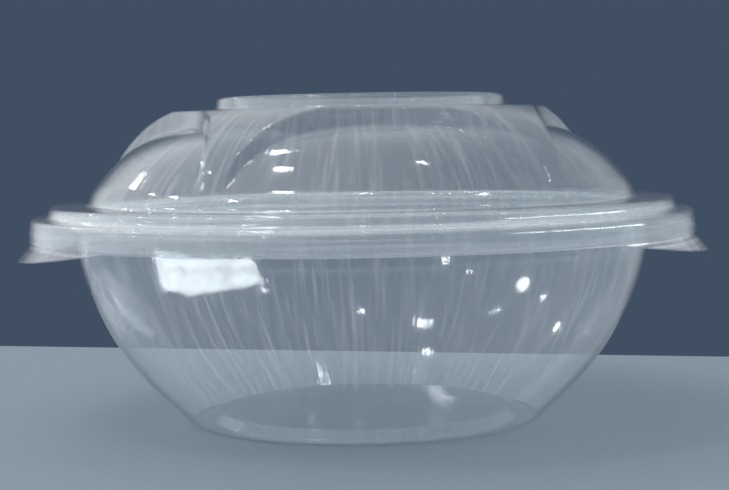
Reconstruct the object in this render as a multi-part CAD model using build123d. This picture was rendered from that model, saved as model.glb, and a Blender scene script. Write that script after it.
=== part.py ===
from build123d import *
from math import cos, radians, tan
import os

# A clear salad container in two thermoformed pieces: a round bowl and a low domed lid.
# Millimetres, +Z up. The origin is under the middle of the foot, on the table.
# X runs through the two lifting lips of the bowl, and the front is -Y.

# Sheet and fit
bowlWall = 0.5
lidWall = 0.5
fitGap = 0.3            # clear space between lid and bowl all over their seat

# Rim of both pieces, on the outside of the lid
beadRadius = 92.0       # the widest ring, which sets the size of both pieces
ledgeWidth = 5.8
seatWidth = 10.2        # flat collar between the rim's step and the dome
stepLevel = 61.0
ledgeDrop = 3.2
skirtHeight = 6.0
rimLean = 0.5           # each upright face of the rim leans out by this much
rimBend = 1.4
skirtDrop = 0.9         # the bowl's skirt reaches this much lower than the lid

stepRadius = beadRadius - ledgeWidth
domeBaseRadius = stepRadius - seatWidth
ledgeLevel = stepLevel - ledgeDrop
lidBottom = ledgeLevel - skirtHeight

# Bowl, on its outside
footRadius = 48.5
footRingWidth = 6.0     # flat ring that the bowl stands on
floorRise = 2.4         # the floor inside the ring stands this much higher
floorSlope = 2.2        # run of the slope from ring to floor
floorBend = 1.2
footBend = 1.6
footAngle = 44.0        # the wall leaves the foot at this angle from the table
wallBend = 76.0         # radius of the wall's sweep, seen from the side
wallAngle = 81.0        # angle of the upper wall from the table
mouthInset = 5.3        # the upper wall runs into the rim this far inside the step

# Lifting lips of the bowl, one at each end of X
lipWidth = 3.4          # how far a lip's tip stands out past the bead
lipFall = 5.4
lipHalfAngle = 45.0

# Lid, on its outside
domeHeight = 25.2       # from the collar up to the flat top
flatTopInset = 24.0     # each inset below is measured from the foot of the dome or the flat top
flatTopBend = 2.2
shoulderInset = 6.5     # corner that the shoulder's sweep rounds off
shoulderDrop = 7.4
shoulderBend = 38.0
ringInset = 12.0        # stacking ring, inside the edge of the flat top
ringWidth = 4.6
ringRise = 3.6
ringLean = 0.5
ringBend = 1.1

flatTopLevel = stepLevel + domeHeight
flatTopRadius = domeBaseRadius - flatTopInset
shoulderRadius = domeBaseRadius - shoulderInset
shoulderLevel = flatTopLevel - shoulderDrop
ringRadius = flatTopRadius - ringInset

# Arched windows sunk into the lid's shoulder
windowCount = 5
windowTurn = 6.0        # the first window faces the front, turned by this angle
windowBite = 2.6        # a window's upper edge cuts this far into the flat top
windowSweep = 80.0      # radius of that edge, seen from above
windowDraft = 3.0
windowRise = 2.0        # the window's sides end this far above the collar
paneDrop = 5.0          # the sunk dome inside the windows, under the flat top
paneInset = 6.0
paneKneeInset = 8.5
paneKneeDrop = 0.4
paneBend = 34.0
paneSpread = 2.3        # the sunk dome would meet the collar this far outside the shoulder

windowMiddle = flatTopRadius - windowBite + windowSweep
windowFoot = stepLevel + windowRise
paneLevel = flatTopLevel - paneDrop
paneRadius = flatTopRadius - paneInset
paneKneeRadius = shoulderRadius - paneKneeInset
paneKneeLevel = shoulderLevel - paneKneeDrop
paneBaseRadius = domeBaseRadius + paneSpread


def bendsThatFit(points, wanted):
    # Radii for the inner corners, made smaller where two of them need more than the leg between
    legs = [Vector(*b) - Vector(*a) for a, b in zip(points, points[1:])]
    turns = [tan(radians(a.get_angle(b)) / 2) for a, b in zip(legs, legs[1:])]
    needs = [0, *(bend * turn for bend, turn in zip(wanted, turns)), 0]
    shares = [0.98 * leg.length / max(a + b, 1e-9) for leg, a, b in zip(legs, needs, needs[1:])]
    return [bend * min(1, a, b) for bend, a, b in zip(wanted, shares, shares[1:])]


def sideLine(points, wanted):
    # A line of the side view, in the XZ plane, with rounded corners
    placed = [(x, 0, z) for x, z in points]
    return Wire(FilletPolyline(*placed, radius=bendsThatFit(points, wanted)).edges())


def turnedUnder(line, level):
    # The solid of revolution that fills the space under a line, down to a level
    first = line @ 0
    last = line @ 1
    corners = [
        last,
        Vector(last.X, 0, level),
        Vector(0, 0, level),
        Vector(0, 0, first.Z),
        first,
    ]
    closing = [Line(a, b) for a, b in zip(corners, corners[1:]) if (a - b).length > 1e-6]
    return revolve(Face(Wire(line.edges() + closing)), Axis.Z)


def turnedSheet(line, depth):
    # The sheet of revolution between a line and this depth under it, or above it if negative
    return revolve(Face(line.offset_2d(depth, side=Side.RIGHT, closed=True)), Axis.Z)


def rimPoints(inset, bottom):
    # Corners of the stepped rim, this far inside the lid's outside
    return [
        (stepRadius - inset, stepLevel - inset),
        (stepRadius + rimLean - inset, ledgeLevel - inset),
        (beadRadius - rimLean - inset, ledgeLevel - inset),
        (beadRadius - inset, bottom),
    ]


rimBends = [rimBend, rimBend, rimBend]

# Bowl
# Its side line is the outside of the wall and the underside of the rim.
bowlInset = lidWall + fitGap + bowlWall
skirtBottom = lidBottom - skirtDrop
rimUnder = stepLevel - bowlInset
mouthRadius = stepRadius - mouthInset
footSlope = tan(radians(footAngle))
wallSlope = tan(radians(wallAngle))
sweepRadius = (rimUnder + footSlope * footRadius - wallSlope * mouthRadius) / (footSlope - wallSlope)
sweepLevel = (sweepRadius - footRadius) * footSlope
ringInner = footRadius - footRingWidth

bowlLine = sideLine(
    [
        (0, floorRise),
        (ringInner - floorSlope, floorRise),
        (ringInner, 0),
        (footRadius, 0),
        (sweepRadius, sweepLevel),
        (mouthRadius, rimUnder),
    ] + rimPoints(bowlInset, skirtBottom),
    [floorBend, floorBend, footBend, wallBend, rimBend] + rimBends,
)
bowlSheet = turnedSheet(bowlLine, -bowlWall)

# Each lip is a flared strip under the skirt, cut off along a circle of its own.
# That circle passes through the lip's tip and meets the skirt at lipHalfAngle from X.
lipReach = beadRadius + lipWidth
skirtRadius = beadRadius - lidWall - fitGap
skirtShare = skirtRadius * cos(radians(lipHalfAngle))
lipCentre = (lipReach ** 2 - skirtRadius ** 2) / (2 * (lipReach - skirtShare))
lipLine = sideLine(
    [
        (skirtRadius - bowlWall, ledgeLevel - 2 * bowlInset),
        (skirtRadius - bowlWall, skirtBottom),
        (lipReach, skirtBottom - lipFall),
    ],
    [rimBend],
)
lipFlare = turnedSheet(lipLine, -bowlWall)
lipOutline = Cylinder(lipReach - lipCentre, 2 * stepLevel)
bowl = bowlSheet
for end in (1, -1):
    bowl += lipFlare & Pos(end * lipCentre, 0, 0) * lipOutline

# Lid
# Its side line is the outside. The sheet lies under it.
shellLine = sideLine(
    [
        (0, flatTopLevel),
        (ringRadius - ringWidth - ringLean, flatTopLevel),
        (ringRadius - ringWidth, flatTopLevel + ringRise),
        (ringRadius, flatTopLevel + ringRise),
        (ringRadius + ringLean, flatTopLevel),
        (flatTopRadius, flatTopLevel),
        (shoulderRadius, shoulderLevel),
        (domeBaseRadius, stepLevel),
    ] + rimPoints(0, lidBottom),
    [ringBend, ringBend, ringBend, ringBend, flatTopBend, shoulderBend, rimBend] + rimBends,
)
paneLine = sideLine(
    [
        (0, paneLevel),
        (paneRadius, paneLevel),
        (paneKneeRadius, paneKneeLevel),
        (paneBaseRadius, stepLevel),
    ],
    [paneBend, paneBend],
)


def lidForm(depth):
    # The lid as a full form, with its surface this far under the outside
    shellAt = shellLine.offset_2d(depth, side=Side.RIGHT, closed=False) if depth else shellLine
    paneAt = paneLine.offset_2d(depth, side=Side.RIGHT, closed=False) if depth else paneLine
    shell = turnedUnder(shellAt, lidBottom)
    pane = turnedUnder(paneAt, windowFoot - lidWall) & shell
    sideHeight = flatTopLevel + ringRise - windowFoot
    footSweep = windowSweep + depth - (flatTopLevel - windowFoot) * tan(radians(windowDraft))
    topSweep = footSweep + sideHeight * tan(radians(windowDraft))
    side = Pos(0, 0, windowFoot + sideHeight / 2) * Cone(footSweep, topSweep, sideHeight)
    for turn in range(windowCount):
        azimuth = 270 + windowTurn + turn * 360 / windowCount
        shell -= Rot(0, 0, azimuth) * Pos(windowMiddle, 0, 0) * side
    return shell + pane


lid = lidForm(0) - lidForm(lidWall)

os.makedirs("parts", exist_ok=True)
for name, piece in (("bowl", bowl), ("lid", lid)):
    piece.label = name
    export_step(piece, f"parts/{name}.step")
    print(name, round(piece.volume), "mm3", piece.bounding_box(), len(piece.solids()), "solid")
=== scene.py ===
import math

import bpy
import numpy as np
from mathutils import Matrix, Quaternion, Vector


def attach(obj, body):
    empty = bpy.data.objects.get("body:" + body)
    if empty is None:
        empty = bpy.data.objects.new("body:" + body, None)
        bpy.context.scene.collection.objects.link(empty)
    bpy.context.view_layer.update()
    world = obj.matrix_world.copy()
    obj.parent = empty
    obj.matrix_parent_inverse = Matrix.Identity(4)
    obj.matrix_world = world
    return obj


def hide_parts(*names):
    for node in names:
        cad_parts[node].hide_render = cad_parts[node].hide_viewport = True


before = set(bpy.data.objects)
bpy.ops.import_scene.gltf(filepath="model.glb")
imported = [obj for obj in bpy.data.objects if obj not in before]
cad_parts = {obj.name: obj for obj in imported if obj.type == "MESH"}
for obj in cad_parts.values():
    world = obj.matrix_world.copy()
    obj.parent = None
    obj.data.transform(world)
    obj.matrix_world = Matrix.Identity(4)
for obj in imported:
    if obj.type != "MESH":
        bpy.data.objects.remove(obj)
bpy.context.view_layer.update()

# The two pieces are described in millimetres, and the studio and the camera in metres
millimetre = 0.001


def srgb(hexColour):
    # sRGB hex to the linear values that shaders take
    parts = [int(hexColour[i:i + 2], 16) / 255 for i in (1, 3, 5)]
    linear = [c / 12.92 if c <= 0.04045 else ((c + 0.055) / 1.055) ** 2.4 for c in parts]
    return (*linear, 1.0)


arcGap = 3.0         # mm, the longest step along an arc
legFill = 0.98       # share of a straight leg that the arcs at its two ends may use up


def roundedLine(corners, bends, arcSteps=6):
    # A side view's line through corners, each inner one replaced by an arc of its own radius.
    # The arc takes radius times tan(half the turn) of each leg, and shrinks if a leg is too short.
    points = np.array(corners, float)
    legs = np.diff(points, axis=0)
    lengths = np.hypot(*legs.T)
    legs = legs / lengths[:, None]
    turns = np.arccos(np.clip((legs[:-1] * legs[1:]).sum(axis=1), -1, 1))
    needs = np.concatenate([[0], bends * np.tan(turns / 2), [0]])
    shares = np.minimum(1, legFill * lengths / np.maximum(needs[:-1] + needs[1:], 1e-9))
    radii = np.array(bends) * np.minimum(shares[:-1], shares[1:])
    line = [points[:1]]
    for here, legIn, legOut, turn, radius in zip(points[1:], legs, legs[1:], turns, radii):
        towards = (legOut - legIn * math.cos(turn)) / math.sin(turn)
        angle = np.linspace(0, turn, max(arcSteps, math.ceil(radius * turn / arcGap)) + 1)[:, None]
        start = here - legIn * radius * math.tan(turn / 2)
        line.append(start + radius * (np.sin(angle) * legIn + (1 - np.cos(angle)) * towards))
    return np.vstack(line + [points[-1:]])


def filledLine(line, gap):
    # More points on the line's long runs, evenly spaced, so that no step is longer than the gap
    steps = np.maximum(1, np.ceil(np.hypot(*np.diff(line, axis=0).T) / gap).astype(int))
    runs = [np.linspace(a, b, count, endpoint=False) for a, b, count in zip(line, line[1:], steps)]
    return np.vstack(runs + [line[-1:]])


def lengthAlong(line):
    # Distance of each point from the line's start: the sum of the steps up to it
    return np.concatenate([[0], np.cumsum(np.hypot(*np.diff(line, axis=0).T))])


def gridNormals(grid):
    # Unit normal at each grid point: the cross product of its steps along rows and columns
    alongRow = np.gradient(grid, axis=0)
    alongColumn = (np.roll(grid, -1, axis=1) - np.roll(grid, 1, axis=1)) / 2
    normal = np.cross(alongRow, alongColumn)
    return normal / np.linalg.norm(normal, axis=2, keepdims=True)


def profile(grid):
    # Mean radius and level of each row
    radius = np.hypot(grid[..., 0], grid[..., 1]).mean(axis=1)
    return np.stack([radius, grid[..., 2].mean(axis=1)], axis=-1)


def turnedGrid(radius, level):
    # Rows of radius and level, one column for each angle: x is radius times cos, y radius times sin
    angle = np.linspace(0, 2 * np.pi, radius.shape[1], endpoint=False)[None, :]
    return np.stack([radius * np.cos(angle), radius * np.sin(angle), level], axis=-1)


sheet = {
    "sharpAngle": 40.0,            # edges that turn by more, in degrees, stay crisp
    "drawnRadius": 60.0,           # circle round which the drawn sheet's own coordinates run
    "otherFace": (31, 17, 43),     # how far off in the noise the sheet's second face lies
}


def sheetMesh(name, grid, wall):
    # A closed sheet: the grid, and the same grid moved by the wall along its normals.
    # Rows run from the axis to the free edge, and columns go round.
    rows, columns = grid.shape[:2]
    other = grid + gridNormals(grid) * wall
    centre = [[0, 0, grid[0, :, 2].mean()], [0, 0, other[0, :, 2].mean()]]
    corners = np.vstack([grid.reshape(-1, 3), other.reshape(-1, 3), centre]) * millimetre
    row, column = np.meshgrid(np.arange(rows - 1), np.arange(columns), indexing="ij")
    here = row * columns + column
    beside = row * columns + (column + 1) % columns
    first = np.stack([here, beside, beside + columns, here + columns], axis=-1).reshape(-1, 4)
    offset = rows * columns
    second = first[:, ::-1] + offset
    around = np.arange(columns)
    nextAround = (around + 1) % columns
    last = (rows - 1) * columns
    edge = np.stack([around, nextAround, nextAround + offset, around + offset], axis=-1) + last
    capOne = np.stack([np.full(columns, 2 * offset), nextAround, around], axis=-1)
    capTwo = np.stack([np.full(columns, 2 * offset + 1), around + offset, nextAround + offset], axis=-1)
    faces = first.tolist() + second.tolist() + edge.tolist() + capOne.tolist() + capTwo.tolist()
    # Six times the volume is the sum of a . (b x c) + a . (c x d) over the quads. If it is below
    # zero, the faces point inwards and are all turned over.
    a, b, c, d = np.moveaxis(corners[np.vstack([first, second, edge])], 1, 0)
    volume = np.einsum("ij,ij->", a, np.cross(b, c)) + np.einsum("ij,ij->", a, np.cross(c, d))
    if volume < 0:
        faces = [face[::-1] for face in faces]
    mesh = bpy.data.meshes.new(name)
    mesh.from_pydata(corners.tolist(), [], faces)
    mesh.shade_smooth()
    mesh.set_sharp_from_angle(angle=math.radians(sheet["sharpAngle"]))
    # Where each point lies on the drawn sheet: round a circle, and along the side line.
    # The second face gets other noise, as the two faces of a drawn sheet are never quite parallel.
    angle = np.linspace(0, 2 * np.pi, columns, endpoint=False)[None, :]
    circle = [sheet["drawnRadius"] * np.cos(angle), sheet["drawnRadius"] * np.sin(angle)]
    drawn = np.stack(np.broadcast_arrays(*circle, lengthAlong(profile(grid))[:, None]), axis=-1)
    drawn = drawn.reshape(-1, 3)
    drawn = np.vstack([drawn, drawn + sheet["otherFace"], [[0, 0, 0]] * 2])
    mesh.attributes.new("drawn", "FLOAT_VECTOR", "POINT").data.foreach_set("vector", drawn.ravel())
    mesh.update()
    piece = bpy.data.objects.new(name, mesh)
    bpy.context.collection.objects.link(piece)
    print("made", name, len(faces), "faces, volume", round(abs(volume) / 6 * 1e9), "mm3")
    return piece


# The stepped rim that both pieces share, on the outside of the lid
rim = {
    "beadRadius": 92.0, "ledgeWidth": 5.8, "seatWidth": 10.2, "stepLevel": 61.0, "ledgeDrop": 3.2,
    "skirtHeight": 6.0, "lean": 0.5, "bend": 1.4, "skirtDrop": 0.9,
    "lidWall": 0.5, "bowlWall": 0.5, "gap": 0.3,
}
stepRadius = rim["beadRadius"] - rim["ledgeWidth"]
domeBaseRadius = stepRadius - rim["seatWidth"]
ledgeLevel = rim["stepLevel"] - rim["ledgeDrop"]
lidBottom = ledgeLevel - rim["skirtHeight"]


def rimCorners(inset, bottom):
    # The stepped rim's side view, this far inside the lid's outside
    return [
        (stepRadius - inset, rim["stepLevel"] - inset),
        (stepRadius + rim["lean"] - inset, ledgeLevel - inset),
        (rim["beadRadius"] - rim["lean"] - inset, ledgeLevel - inset),
        (rim["beadRadius"] - inset, bottom),
    ]


print("stage: bowl")
bowl = {
    "footRadius": 48.5, "ringWidth": 6.0, "floorRise": 2.4, "floorSlope": 2.2, "floorBend": 1.2,
    "footBend": 1.6, "footAngle": 44.0, "wallBend": 76.0, "wallAngle": 81.0, "mouthInset": 5.3,
    "lipWidth": 3.4, "lipFall": 5.4, "lipHalfAngle": 45.0,
    "lipTrim": 0.4,          # a lip's lower face ends this much sooner than its upper face
    "lipLead": 2.0,          # the lip's side line begins this far above the skirt's bottom
    "lipStart": 1.2,         # its rows begin at this height above the bottom
    "skirtEnd": 0.2,         # and end at this height where there is no lip
    "skirtZone": 0.6,        # the skirt's own points lie no further inside its underside than this
    "poleRadius": 0.4, "rowGap": 3.0, "lipRowGap": 0.5, "lipArcSteps": 8, "lipRows": 12, "columns": 384,
}


def makeBowl(dims):
    # The side line turned round the axis. Its last rows run out to the reach of the lips, which
    # differs with the angle.
    inset = rim["lidWall"] + rim["gap"] + rim["bowlWall"]
    skirtBottom = lidBottom - rim["skirtDrop"]
    rimUnder = rim["stepLevel"] - inset
    mouthRadius = stepRadius - dims["mouthInset"]
    # The wall's two straight runs, up from the foot and down from the rim, would cross here
    footSlope = math.tan(math.radians(dims["footAngle"]))
    wallSlope = math.tan(math.radians(dims["wallAngle"]))
    sweepRadius = rimUnder + footSlope * dims["footRadius"] - wallSlope * mouthRadius
    sweepRadius /= footSlope - wallSlope
    sweepLevel = (sweepRadius - dims["footRadius"]) * footSlope
    ringInner = dims["footRadius"] - dims["ringWidth"]
    corners = [
        (dims["poleRadius"], dims["floorRise"]),
        (ringInner - dims["floorSlope"], dims["floorRise"]),
        (ringInner, 0),
        (dims["footRadius"], 0),
        (sweepRadius, sweepLevel),
        (mouthRadius, rimUnder),
    ] + rimCorners(inset, skirtBottom)
    bends = [dims["floorBend"]] * 2 + [dims["footBend"], dims["wallBend"]] + [rim["bend"]] * 4
    line = filledLine(roundedLine(corners, bends), dims["rowGap"])
    # A lip is cut off along a circle, which passes through its tip and meets the skirt at
    # lipHalfAngle from X. Seen from the axis, the circle lies at a distance of centre times cos,
    # plus the root of (circle squared less the square of centre times sin).
    skirtRadius = rim["beadRadius"] - rim["lidWall"] - rim["gap"]
    skirtUnder = skirtRadius - rim["bowlWall"]
    lipReach = rim["beadRadius"] + dims["lipWidth"]
    skirtShare = skirtRadius * math.cos(math.radians(dims["lipHalfAngle"]))
    lipCentre = (lipReach ** 2 - skirtRadius ** 2) / (2 * (lipReach - skirtShare))
    lipCircle = lipReach - lipCentre
    angle = np.linspace(0, 2 * np.pi, dims["columns"], endpoint=False)
    reach = lipCentre * np.abs(np.cos(angle)) + np.sqrt(lipCircle ** 2 - (lipCentre * np.sin(angle)) ** 2)
    reach -= dims["lipTrim"]
    lipCorners = [
        (skirtUnder, skirtBottom + dims["lipLead"]),
        (skirtUnder, skirtBottom),
        (lipReach, skirtBottom - dims["lipFall"]),
    ]
    lipLine = filledLine(roundedLine(lipCorners, [rim["bend"]], dims["lipArcSteps"]), dims["lipRowGap"])
    along = lengthAlong(lipLine)
    start, shortest = (np.interp(skirtBottom + dims[height], lipLine[::-1, 1], along[::-1])
                       for height in ("lipStart", "skirtEnd"))
    end = np.interp(reach, lipLine[:, 0], along)
    end = np.maximum(np.where(reach > skirtUnder, end, 0), shortest)
    travel = start + (end - start)[None, :] * np.linspace(0, 1, dims["lipRows"] + 1)[1:, None]
    inSkirt = (line[:, 0] > skirtUnder - dims["skirtZone"]) & (line[:, 1] < skirtBottom + dims["lipStart"])
    line = line[~inSkirt]
    upper = np.repeat(line[:, :, None], dims["columns"], axis=2)
    radius = np.vstack([upper[:, 0], np.interp(travel, along, lipLine[:, 0])])
    level = np.vstack([upper[:, 1], np.interp(travel, along, lipLine[:, 1])])
    return sheetMesh("bowl_sheet", turnedGrid(radius, level), rim["bowlWall"])


bowlSheet = makeBowl(bowl)

print("stage: lid")
lid = {
    "domeHeight": 25.2, "flatTopInset": 24.0, "flatTopBend": 2.2,
    "shoulderInset": 6.5, "shoulderDrop": 7.4, "shoulderBend": 38.0,
    "ringInset": 12.0, "ringWidth": 4.6, "ringRise": 3.6, "ringLean": 0.5, "ringBend": 1.1,
    "windowCount": 5, "windowTurn": 6.0, "windowBite": 2.6, "windowSweep": 80.0, "windowDraft": 3.0,
    "windowDrop": 12.0,      # the window's edge is placed for the draft at this depth under the top
    "windowReach": 72.5,     # it never runs further out than this
    "windowEdge": 1.8,       # width of the bend between shoulder and pane
    "paneDrop": 3.8, "paneInset": 5.0, "paneKneeInset": 6.5, "paneKneeDrop": 1.0, "paneBend": 34.0,
    "paneSpread": 2.3, "paneBlend": 1.2,
    "poleRadius": 0.4, "rowGap": 0.4, "arcSteps": 12, "columns": 384,
    "crownInset": 6.5,       # the rows of the flat top end this far inside its bend
    "bendReach": 0.8,        # the bend at the flat top's edge ends this far outside it
    "bendRun": 1.6,
    "bandGap": 0.3,          # least space between that bend and a window's edge
    "bandWidth": 0.75,       # half the width of the band of rows along a window's edge, in edge widths
    "bandLimit": 0.45,       # share of the way out to the dome's foot that this half may take
    "slantLimit": 3.0,
    "bandRows": (4, 6, 9, 12, 34),
}


def softMin(one, other, width):
    # The lower of two levels. Where they are closer than the width, it is lowered further by the
    # square of what is missing over four widths, which rounds the crease.
    near = np.maximum(width - np.abs(one - other), 0)
    return np.minimum(one, other) - near ** 2 / (4 * width)


def makeLid(dims):
    # The shoulder's side line turned round the axis, and lowered to the pane's line inside the windows
    top = rim["stepLevel"] + dims["domeHeight"]
    flatTopRadius = domeBaseRadius - dims["flatTopInset"]
    shoulderRadius = domeBaseRadius - dims["shoulderInset"]
    shoulderLevel = top - dims["shoulderDrop"]
    ring = flatTopRadius - dims["ringInset"]
    ringInner = ring - dims["ringWidth"]
    ringTop = top + dims["ringRise"]
    crownEnd = flatTopRadius - dims["crownInset"]
    domeFoot = (domeBaseRadius, rim["stepLevel"])
    crown = roundedLine(
        [(dims["poleRadius"], top), (ringInner - dims["ringLean"], top), (ringInner, ringTop),
         (ring, ringTop), (ring + dims["ringLean"], top), (crownEnd, top)],
        [dims["ringBend"]] * 4)
    shoulder = filledLine(roundedLine(
        [(crownEnd, top), (flatTopRadius, top), (shoulderRadius, shoulderLevel), domeFoot],
        [dims["flatTopBend"], dims["shoulderBend"]], dims["arcSteps"]), dims["rowGap"])
    paneLevel = top - dims["paneDrop"]
    paneKnee = (shoulderRadius - dims["paneKneeInset"], shoulderLevel - dims["paneKneeDrop"])
    pane = filledLine(roundedLine(
        [(0, paneLevel), (flatTopRadius - dims["paneInset"], paneLevel), paneKnee,
         (domeBaseRadius + dims["paneSpread"], rim["stepLevel"])],
        [dims["paneBend"]] * 2, dims["arcSteps"]), dims["rowGap"])
    base = roundedLine(
        [(shoulderRadius, shoulderLevel), domeFoot] + rimCorners(0, lidBottom), [rim["bend"]] * 4)[1:]
    # A window's edge is a circle seen from above. Its distance from the axis at each angle:
    # centre times cos, less the root of (sweep squared less the square of centre times sin).
    angle = np.linspace(0, 2 * np.pi, dims["columns"], endpoint=False)
    pitch = 2 * np.pi / dims["windowCount"]
    facing = math.radians(270 + dims["windowTurn"])
    aside = np.abs((angle - facing + pitch / 2) % pitch - pitch / 2)
    centre = flatTopRadius - dims["windowBite"] + dims["windowSweep"]
    draft = math.tan(math.radians(dims["windowDraft"]))
    sweep = dims["windowSweep"] - dims["windowDrop"] * draft
    inside = np.maximum(sweep ** 2 - (centre * np.sin(aside)) ** 2, 1.0)
    edge = np.minimum(centre * np.cos(aside) - np.sqrt(inside), dims["windowReach"])
    # The rows crowd along that edge, in a band that widens where the edge runs aslant
    slant = np.gradient(edge) / np.gradient(angle) / edge
    slant = np.clip(slant, -dims["slantLimit"], dims["slantLimit"])
    half = dims["bandWidth"] * dims["windowEdge"] * np.sqrt(1 + slant ** 2)
    half = np.minimum(half, dims["bandLimit"] * (base[0, 0] - edge))
    bendEnd = np.minimum(flatTopRadius + dims["bendReach"], edge - half - dims["bandGap"])
    stops = [np.full_like(edge, crownEnd), bendEnd - dims["bendRun"], bendEnd,
             edge - half, edge + half, np.full_like(edge, base[0, 0])]
    bands = [a + (b - a) * np.linspace(0, 1, count, endpoint=False)[:, None]
             for a, b, count in zip(stops, stops[1:], dims["bandRows"])]
    radius = np.vstack(bands)[1:]
    upper = np.interp(radius, shoulder[:, 0], shoulder[:, 1])
    lower = softMin(np.interp(radius, pane[:, 0], pane[:, 1]), upper, dims["paneBlend"])
    # The level passes from shoulder to pane over the edge's width, by x squared times (3 - 2x)
    fromCentre = np.sqrt(radius ** 2 + centre ** 2 - 2 * radius * centre * np.cos(aside))
    sweepAt = dims["windowSweep"] - (top - upper) * draft
    into = np.clip((sweepAt - fromCentre) / dims["windowEdge"] + 0.5, 0, 1)
    level = upper + (lower - upper) * into * into * (3 - 2 * into)
    crown, base = (np.repeat(line[:, :, None], dims["columns"], axis=2) for line in (crown, base))
    radius = np.vstack([crown[:, 0], radius, base[:, 0]])
    level = np.vstack([crown[:, 1], level, base[:, 1]])
    return sheetMesh("lid_sheet", turnedGrid(radius, level), -rim["lidWall"])


lidSheet = makeLid(lid)

print("stage: materials")


def addNode(tree, kind, settings=None, links=None):
    # One node with its settings and the sockets that feed it
    node = tree.nodes.new(kind)
    for key, value in (settings or {}).items():
        if isinstance(key, int) or key in node.inputs:
            node.inputs[key].default_value = value
        else:
            setattr(node, key, value)
    for key, source in (links or {}).items():
        tree.links.new(source, node.inputs[key])
    return node


def newTree(owner):
    # The empty node tree of a material or world
    owner.use_nodes = True
    owner.node_tree.nodes.clear()
    return owner.node_tree


# Sizes and levels in millimetres, and rimLines in waves per metre along X, Y and Z.
# Each pair of limits is where a veil or shade begins and where it is full.
clearPet = {
    "ior": 1.575, "lidTint": "#fbfdfd", "bowlTint": "#fafcfd", "roughness": 0.08,
    "waveSize": 12.0, "waveHeight": 0.30, "drawWidth": 2.2, "drawHeight": 0.11, "drawLength": 0.07,
    "peelSize": 1.2, "peelHeight": 0.006, "bumpStrength": 0.5,
    # The edge entries below set painted shade: how much darker and greyer the sheet is painted where it
    # turns away
    "paintedEdgeShadeColour": "#6f7882", "edgeShade": 0.45, "paintedEdgeShadeLimits": (0.80, 0.97),
    "haze": 0.065, "hazeColour": "#eef1f4",
    "streakWidth": 1.5, "streakHaze": 0.22, "streakLimits": (0.54, 0.80),
    "rimHaze": 0.38, "rimLines": (9.0, 9.0, 620.0), "rimLineLimits": (0.42, 0.72),
    "rimLevels": (44.0, 52.0), "rimTop": 61.5,
}


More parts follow.
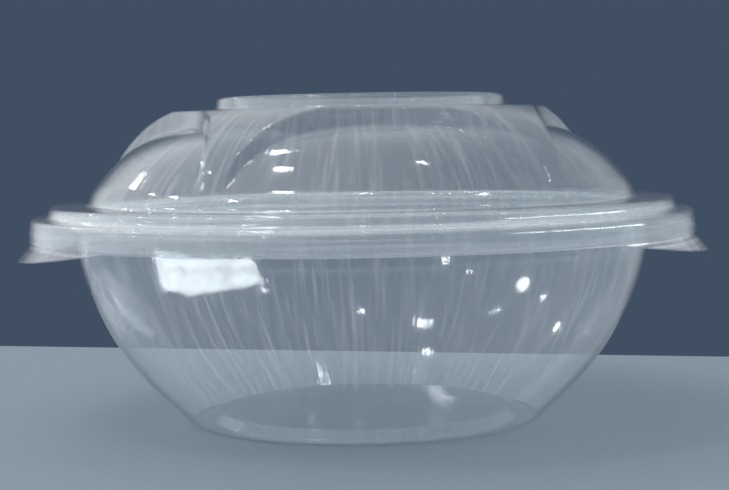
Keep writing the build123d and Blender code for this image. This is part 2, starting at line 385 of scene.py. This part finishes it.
def clearSheet(name, tint):
    # Clear PET sheet, thermoformed over a mould: glossy and colourless. The drawn sheet is never
    # quite even, so it mirrors lamps in patches that wander, break up and trail down the wall.
    material = bpy.data.materials.new(name)
    tree = newTree(material)
    where = addNode(tree, "ShaderNodeTexCoord").outputs["Object"]
    # Stretched lengthways, the noise becomes the fine lines that the sheet gets as it is drawn down
    sheetPlace = addNode(tree, "ShaderNodeAttribute", {"attribute_name": "drawn"}).outputs["Vector"]
    squeeze = (millimetre, millimetre, millimetre * clearPet["drawLength"])
    drawn = addNode(tree, "ShaderNodeMapping", {"Scale": squeeze}, {"Vector": sheetPlace}).outputs[0]
    # Three bumps: slow waves, those lines, and a faint orange peel
    normal = None
    for size, height, detail, vector in (
            (clearPet["waveSize"], clearPet["waveHeight"], 2.0, where),
            (clearPet["drawWidth"], clearPet["drawHeight"], 1.0, drawn),
            (clearPet["peelSize"], clearPet["peelHeight"], 0.0, where)):
        noise = addNode(tree, "ShaderNodeTexNoise",
                        {"Scale": 1 / (size * millimetre), "Detail": detail}, {"Vector": vector})
        links = {"Height": noise.outputs["Fac"]}
        if normal is not None:
            links["Normal"] = normal
        normal = addNode(tree, "ShaderNodeBump",
                         {"Strength": clearPet["bumpStrength"], "Distance": height * millimetre},
                         links).outputs["Normal"]
    # Schlick's share: what meets the sheet head on mirrors least, and what grazes it most
    headOn = ((clearPet["ior"] - 1) / (clearPet["ior"] + 1)) ** 2
    facing = addNode(tree, "ShaderNodeLayerWeight", {"Blend": 0.5}, {"Normal": normal}).outputs["Facing"]
    grazing = addNode(tree, "ShaderNodeMath", {"operation": "POWER", 1: 5.0}, {0: facing}).outputs[0]
    mirror = addNode(tree, "ShaderNodeMapRange", {"To Min": headOn, "To Max": 1.0},
                     {"Value": grazing}).outputs[0]
    # The sheet is so thin that what is seen through it stays in place. Where it turns away it is painted
    # darker and greyer: painted shade at its edges, far more than the longer way through so thin a sheet
    # gives.
    start, full = clearPet["paintedEdgeShadeLimits"]
    edge = addNode(tree, "ShaderNodeMapRange",
                   {"From Min": start, "From Max": full, "To Min": 0.0, "To Max": clearPet["edgeShade"]},
                   {"Value": facing}).outputs[0]
    # Painted shade: what is seen through the sheet is mixed towards a dark grey where the sheet turns away
    edge = addNode(tree, "ShaderNodeMix",
                   {"data_type": "RGBA", 6: srgb(tint), 7: srgb(clearPet["paintedEdgeShadeColour"])},
                   {0: edge}).outputs[2]
    through = addNode(tree, "ShaderNodeBsdfTransparent", {}, {"Color": edge}).outputs[0]
    # The clamped rim is drawn least: it stays thicker and more veiled, with fine lines round it
    level = addNode(tree, "ShaderNodeSeparateXYZ", {}, {0: where}).outputs["Z"]
    start, full = clearPet["rimLevels"]
    above = addNode(tree, "ShaderNodeMapRange",
                    {"interpolation_type": "SMOOTHSTEP", "From Min": start * millimetre,
                     "From Max": full * millimetre}, {"Value": level}).outputs[0]
    below = addNode(tree, "ShaderNodeMath", {"operation": "LESS_THAN", 1: clearPet["rimTop"] * millimetre},
                    {0: level}).outputs[0]
    atRim = addNode(tree, "ShaderNodeMath", {"operation": "MULTIPLY"}, {0: above, 1: below}).outputs[0]
    lined = addNode(tree, "ShaderNodeMapping", {"Scale": clearPet["rimLines"]}, {"Vector": where})
    lines = addNode(tree, "ShaderNodeTexNoise", {"Scale": 1.0, "Detail": 2.0}, {"Vector": lined.outputs[0]})
    start, full = clearPet["rimLineLimits"]
    lines = addNode(tree, "ShaderNodeMapRange",
                    {"From Min": start, "From Max": full, "To Min": 0.0, "To Max": clearPet["rimHaze"]},
                    {"Value": lines.outputs["Fac"]}).outputs[0]
    veil = addNode(tree, "ShaderNodeMath", {"operation": "MULTIPLY_ADD", 2: clearPet["haze"]},
                   {0: atRim, 1: lines}).outputs[0]
    # Fine paler streaks run down the drawn wall
    streaks = addNode(tree, "ShaderNodeTexNoise",
                      {"Scale": 1 / (clearPet["streakWidth"] * millimetre), "Detail": 2.0},
                      {"Vector": drawn}).outputs["Fac"]
    start, full = clearPet["streakLimits"]
    streaks = addNode(tree, "ShaderNodeMapRange",
                      {"From Min": start, "From Max": full, "To Min": 0.0, "To Max": clearPet["streakHaze"]},
                      {"Value": streaks}).outputs[0]
    veil = addNode(tree, "ShaderNodeMath", {"operation": "ADD"}, {0: veil, 1: streaks}).outputs[0]
    haze = addNode(tree, "ShaderNodeBsdfDiffuse", {"Color": srgb(clearPet["hazeColour"])},
                   {"Normal": normal}).outputs[0]
    body = addNode(tree, "ShaderNodeMixShader", {}, {"Fac": veil, 1: through, 2: haze}).outputs[0]
    gloss = addNode(tree, "ShaderNodeBsdfAnisotropic",
                    {"Roughness": clearPet["roughness"], "Color": (1, 1, 1, 1)},
                    {"Normal": normal}).outputs[0]
    mixed = addNode(tree, "ShaderNodeMixShader", {}, {"Fac": mirror, 1: body, 2: gloss})
    addNode(tree, "ShaderNodeOutputMaterial", {}, {"Surface": mixed.outputs[0]})
    return material


bowlClear = clearSheet("clear PET, thermoformed bowl sheet", clearPet["bowlTint"])
lidClear = clearSheet("clear PET, thermoformed lid sheet", clearPet["lidTint"])
for piece, node, slot, material in (
        (bowlSheet, "bowl", "clear_bowl_sheet", bowlClear),
        (lidSheet, "lid", "clear_lid_sheet", lidClear)):
    piece.data.materials.append(material)
    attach(piece, node)
    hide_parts(node)
    cadNode = bpy.data.objects.get(node)
    if cadNode is not None:
        for cadSlot in cadNode.material_slots:
            cadSlot.material = material

print("stage: studio")
studio = {
    "table": "#95a0aa", "farEdge": ((-0.75, 0.329), (0.95, -0.103)), "tableFront": -1.2,
    "backdrop": "#414f63", "wallLimits": (0.75, 0.96),
    "bright": "#eef1f5", "brightStrength": 1.2, "dim": "#b9c0c8", "dimStrength": 0.8,
    "brightSide": (-0.85, 0.1, 0.5), "brightLimits": (-0.15, 0.95),
}


def makeTable(dims):
    # A pale matt table, whose far edge runs askew behind the container
    left, right = dims["farEdge"]
    front = dims["tableFront"]
    mesh = bpy.data.meshes.new("floor")
    corners = [(left[0], front, 0), (right[0], front, 0), (*right, 0), (*left, 0)]
    mesh.from_pydata(corners, [], [(0, 1, 2, 3)])
    floor = bpy.data.objects.new("floor", mesh)
    bpy.context.collection.objects.link(floor)
    material = bpy.data.materials.new("pale matt table")
    tree = newTree(material)
    table = addNode(tree, "ShaderNodeBsdfDiffuse", {"Color": srgb(dims["table"])})
    addNode(tree, "ShaderNodeOutputMaterial", {}, {"Surface": table.outputs[0]})
    mesh.materials.append(material)


def makeRoom(dims):
    # A plain wall for what is seen directly or through the sheet, and for what lies straight behind.
    # All else gets the room's light, which is brightest high up on the left.
    world = bpy.data.worlds.new("studio")
    bpy.context.scene.world = world
    tree = newTree(world)
    path = addNode(tree, "ShaderNodeLightPath").outputs
    seen = addNode(tree, "ShaderNodeMath", {"operation": "MAXIMUM"},
                   {0: path["Is Camera Ray"], 1: path["Is Transmission Ray"]}).outputs[0]
    direction = addNode(tree, "ShaderNodeTexCoord").outputs["Generated"]
    behind = addNode(tree, "ShaderNodeSeparateXYZ", {}, {0: direction}).outputs["Y"]
    start, full = dims["wallLimits"]
    wall = addNode(tree, "ShaderNodeMapRange",
                   {"interpolation_type": "SMOOTHSTEP", "From Min": start, "From Max": full},
                   {"Value": behind}).outputs[0]
    seen = addNode(tree, "ShaderNodeMath", {"operation": "MAXIMUM"}, {0: seen, 1: wall}).outputs[0]
    towards = addNode(tree, "ShaderNodeVectorMath", {"operation": "DOT_PRODUCT", 1: dims["brightSide"]},
                      {0: direction}).outputs["Value"]
    start, full = dims["brightLimits"]
    share = addNode(tree, "ShaderNodeMapRange",
                    {"interpolation_type": "SMOOTHSTEP", "From Min": start, "From Max": full},
                    {"Value": towards}).outputs[0]
    plain, bright, dim = (
        addNode(tree, "ShaderNodeBackground", {"Color": srgb(colour), "Strength": strength}).outputs[0]
        for colour, strength in ((dims["backdrop"], 1.0), (dims["bright"], dims["brightStrength"]),
                                 (dims["dim"], dims["dimStrength"])))
    room = addNode(tree, "ShaderNodeMixShader", {}, {"Fac": share, 1: dim, 2: bright}).outputs[0]
    mixed = addNode(tree, "ShaderNodeMixShader", {}, {"Fac": seen, 1: room, 2: plain})
    addNode(tree, "ShaderNodeOutputWorld", {}, {"Surface": mixed.outputs[0]})


lampAim = (0.0, 0.0, 0.04)
softboxPlace = {
    "azimuth": 86, "elevation": 30, "distance": 1.2, "size": (1.15, 0.28), "glow": 15.0, "roll": -17.5,
}
ceilingDistance = 1.3
# Small ceiling lamps: azimuth, elevation, width in metres, glow
ceilingLamps = [
    (-52, 63, 0.13, 26), (-142, 65, 0.10, 22), (1, 61, 0.06, 30), (-88, 71, 0.07, 28), (93, 76, 0.05, 26),
    (60, 43, 0.06, 30), (-43, 34, 0.06, 32), (-60, 37, 0.05, 30), (-92, 34, 0.08, 30), (-109, 33, 0.06, 28),
    (-133, 30, 0.06, 30), (-89, 46, 0.05, 28),
]


def addLamp(name, azimuth, elevation, distance, size, glow, roll=0.0):
    # An area lamp that looks at the container. Azimuth runs from the front to the right, in degrees.
    # The glow is what a mirror would show, and power is glow times area times pi.
    data = bpy.data.lights.new(name, "AREA")
    data.shape = "RECTANGLE" if size[0] > 2 * size[1] else "ELLIPSE"
    data.size, data.size_y = size
    area = size[0] * size[1] * (1 if data.shape == "RECTANGLE" else math.pi / 4)
    data.energy = glow * area * math.pi
    lamp = bpy.data.objects.new(name, data)
    bpy.context.collection.objects.link(lamp)
    turn, rise = math.radians(azimuth), math.radians(elevation)
    away = Vector((math.sin(turn) * math.cos(rise), -math.cos(turn) * math.cos(rise), math.sin(rise)))
    lamp.location = Vector(lampAim) + away * distance
    facing = (-away).to_track_quat("-Z", "Y")
    lamp.rotation_euler = (facing @ Quaternion((0, 0, 1), math.radians(roll))).to_euler()
    return lamp


makeTable(studio)
makeRoom(studio)
softbox = addLamp("long softbox on the right", **softboxPlace)
# Flags keep the softbox off the lid, where it would show as one more large patch, and off the table
litBySoftbox = bpy.data.collections.new("lit by the softbox")
litBySoftbox.objects.link(bowlSheet)
softbox.light_linking.receiver_collection = litBySoftbox
for azimuth, elevation, width, glow in ceilingLamps:
    addLamp("ceiling lamp", azimuth, elevation, ceilingDistance, (width, width), glow)

print("stage: camera")
# The photograph's frame in pixels, and the camera's place in metres and tilt in degrees
photo = {
    "wide": 729, "high": 490, "focal": 1697.0, "horizon": 131.0, "axisX": 360.5,
    "distance": 0.475, "height": 0.080, "roll": 1.05,
}


def makeCamera(dims):
    # The camera looks along +Y from in front of the axis. It is pitched down so that its horizon
    # lies at the photograph's, and rolled by the small tilt that the photograph has.
    data = bpy.data.cameras.new("camera")
    data.sensor_fit = "HORIZONTAL"
    data.sensor_width = 36.0
    data.lens = dims["focal"] / dims["wide"] * data.sensor_width
    data.shift_x = (dims["wide"] / 2 - dims["axisX"]) / dims["wide"]
    data.clip_start = 0.01
    camera = bpy.data.objects.new("camera", data)
    bpy.context.collection.objects.link(camera)
    pitch = math.atan((dims["high"] / 2 - dims["horizon"]) / dims["focal"])
    camera.location = (0, -dims["distance"], dims["height"])
    camera.rotation_euler = (math.pi / 2 - pitch, math.radians(dims["roll"]), 0)
    bpy.context.scene.camera = camera


makeCamera(photo)
scene = bpy.context.scene
scene.view_settings.view_transform = "Standard"
scene.cycles.transparent_max_bounces = 64        # many faces of clear sheet lie behind one another

print("stage: done")
